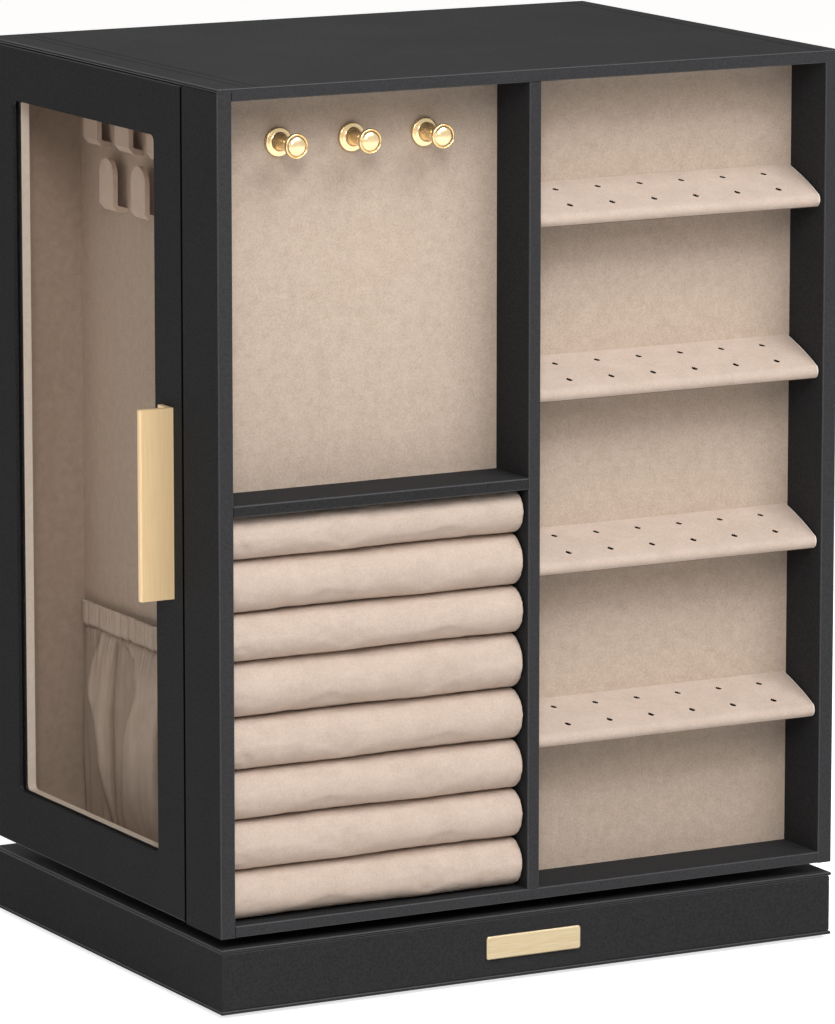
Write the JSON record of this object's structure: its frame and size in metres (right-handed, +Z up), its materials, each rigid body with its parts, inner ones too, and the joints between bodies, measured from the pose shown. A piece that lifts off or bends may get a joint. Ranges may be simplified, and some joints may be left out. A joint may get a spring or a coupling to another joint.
{
  "type": "rotating jewelry box",
  "caption": "Upright jewelry box that turns on a plinth, with open display bays for rings, earrings and bracelets and windowed side doors for necklaces.",
  "frame": {"origin": "on the turning axis, at the level of the undersides of the feet", "axes": "+Z up; the open display side faces -Y; +X to the right of someone facing it; the doors swing about upright axes at the rear edges"},
  "size_m": [0.287, 0.1934, 0.34],
  "materials": {
    "black_leatherette": "fine grained, satin",
    "beige_velvet": "short pile velvet",
    "beige_pocket_cloth": "soft gathered cloth",
    "clear_acrylic": "clear",
    "mirror_glass": "mirror",
    "polished_gold": "polished plating",
    "brushed_gold": "brushed plating",
    "hinge_brass": "plated",
    "steel": "zinc plated",
    "white_nylon": "smooth",
    "black_rubber": "matt",
    "fibreboard": "raw board"
  },
  "bodies": {
    "base": {"base_bottom_board": "black_leatherette", "plinth_boards": "black_leatherette", "base_top_board": "black_leatherette", "rubber_feet": "black_rubber", "badge_plate": "brushed_gold", "turntable_lower_plate": "steel", "turntable_glides": "white_nylon", "turntable_pivot": "steel"},
    "cabinet": {"turntable_upper_plate": "steel", "top_panel": "black_leatherette", "floor_panel": "black_leatherette", "left_side_wall": "black_leatherette", "right_side_wall": "black_leatherette", "centre_divider": "black_leatherette", "middle_shelf": "black_leatherette", "display_back_board": "fibreboard", "display_linings": "beige_velvet", "knob_hooks": "polished_gold", "ring_roll_1": "beige_velvet", "ring_roll_2": "beige_velvet", "ring_roll_3": "beige_velvet", "ring_roll_4": "beige_velvet", "ring_roll_5": "beige_velvet", "ring_roll_6": "beige_velvet", "ring_roll_7": "beige_velvet", "ring_roll_8": "beige_velvet", "earring_shelf_1": "beige_velvet", "earring_shelf_2": "beige_velvet", "earring_shelf_3": "beige_velvet", "earring_shelf_4": "beige_velvet", "left_inner_panel": "fibreboard", "right_inner_panel": "fibreboard", "left_bay_lining": "beige_velvet", "right_bay_lining": "beige_velvet", "door_posts": "beige_velvet", "left_necklace_hooks": "beige_velvet", "right_necklace_hooks": "beige_velvet", "left_pocket": "beige_pocket_cloth", "right_pocket": "beige_pocket_cloth", "rear_panel": "black_leatherette", "rear_mirror": "mirror_glass", "cabinet_hinge_leaves": "hinge_brass", "hinge_pins": "hinge_brass", "door_magnets": "steel"},
    "left_door": {"left_door_frame": "black_leatherette", "left_door_inner_frame": "beige_velvet", "left_door_pane": "clear_acrylic", "left_door_handle": "brushed_gold", "left_door_hinge_leaves": "hinge_brass", "left_door_strike_plate": "steel"},
    "right_door": {"right_door_frame": "black_leatherette", "right_door_inner_frame": "beige_velvet", "right_door_pane": "clear_acrylic", "right_door_handle": "brushed_gold", "right_door_hinge_leaves": "hinge_brass", "right_door_strike_plate": "steel"}
  },
  "joints": [
    {"name": "cabinet_turn", "type": "hinge", "parent": "base", "child": "cabinet", "pos_m": [0, 0, 0.028], "axis": [0, 0, 1], "continuous": true},
    {"name": "left_door_hinge", "type": "hinge", "parent": "cabinet", "child": "left_door", "pos_m": [-0.12375, 0.0952, 0.185], "axis": [0, 0, -1], "range_deg": [0, 110]},
    {"name": "right_door_hinge", "type": "hinge", "parent": "cabinet", "child": "right_door", "pos_m": [0.12375, 0.0952, 0.185], "axis": [0, 0, 1], "range_deg": [0, 110]}
  ]
}
